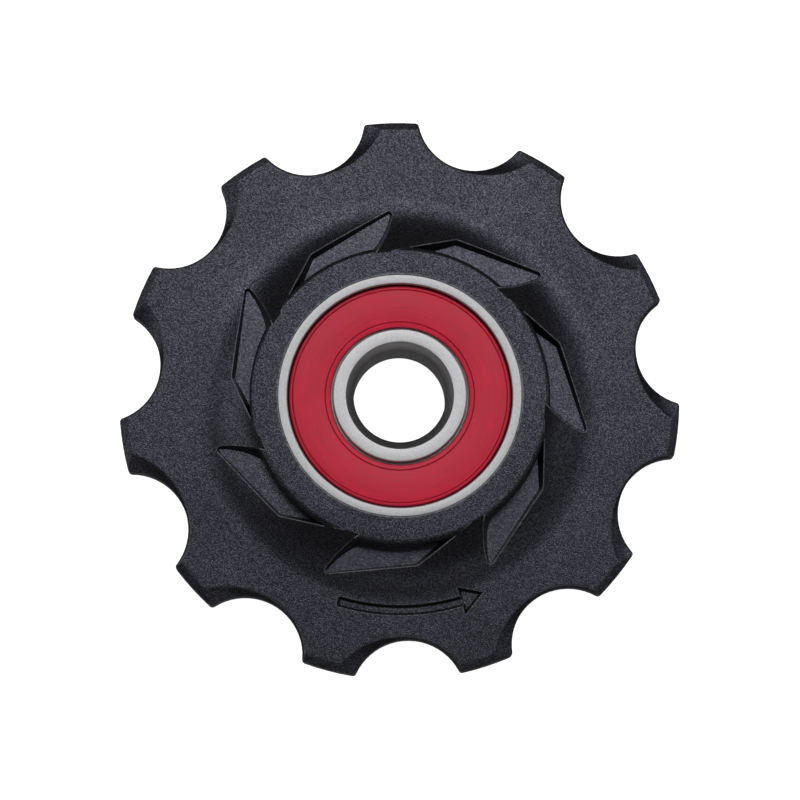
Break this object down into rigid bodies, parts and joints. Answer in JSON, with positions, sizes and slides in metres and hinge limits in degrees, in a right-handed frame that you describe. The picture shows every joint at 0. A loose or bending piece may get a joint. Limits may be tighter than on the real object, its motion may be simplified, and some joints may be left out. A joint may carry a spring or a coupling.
{
  "type": "derailleur jockey wheel",
  "caption": "Toothed guide pulley, moulded in one piece with turbine pockets round its hub, that turns on a sealed ball bearing with a plain axle bore.",
  "frame": {"origin": "on the axle bore's axis, at the middle of the wheel's width", "axes": "+Z along the axle towards the front face, with the drive turning counter-clockwise about +Z; +X and +Y lie in the wheel's plane"},
  "size_m": [0.0426, 0.0423, 0.006],
  "materials": {
    "pulley_polymer": "fine spark-eroded grain, satin",
    "bearing_steel": "ground satin",
    "seal_rubber": "smooth satin, red",
    "cage_nylon": "moulded, satin",
    "ball_ceramic": "polished"
  },
  "bodies": {
    "inner_ring": {"bearing_inner_ring": "bearing_steel"},
    "wheel": {"pulley_body": "pulley_polymer", "bearing_outer_ring": "bearing_steel", "front_seal": "seal_rubber", "rear_seal": "seal_rubber"},
    "ball_set": {"ball_cage": "cage_nylon", "ball_1": "ball_ceramic", "ball_2": "ball_ceramic", "ball_3": "ball_ceramic", "ball_4": "ball_ceramic", "ball_5": "ball_ceramic", "ball_6": "ball_ceramic", "ball_7": "ball_ceramic"}
  },
  "joints": [
    {"name": "wheel_spin", "type": "hinge", "parent": "inner_ring", "child": "wheel", "pos_m": [0, 0, 0], "axis": [0, 0, 1], "continuous": true},
    {"name": "ball_set_spin", "type": "hinge", "parent": "inner_ring", "child": "ball_set", "pos_m": [0, 0, 0], "axis": [0, 0, 1], "continuous": true}
  ],
  "couplings": [
    {"joint": "ball_set_spin", "follows": "wheel_spin", "ratio": 0.63738}
  ]
}
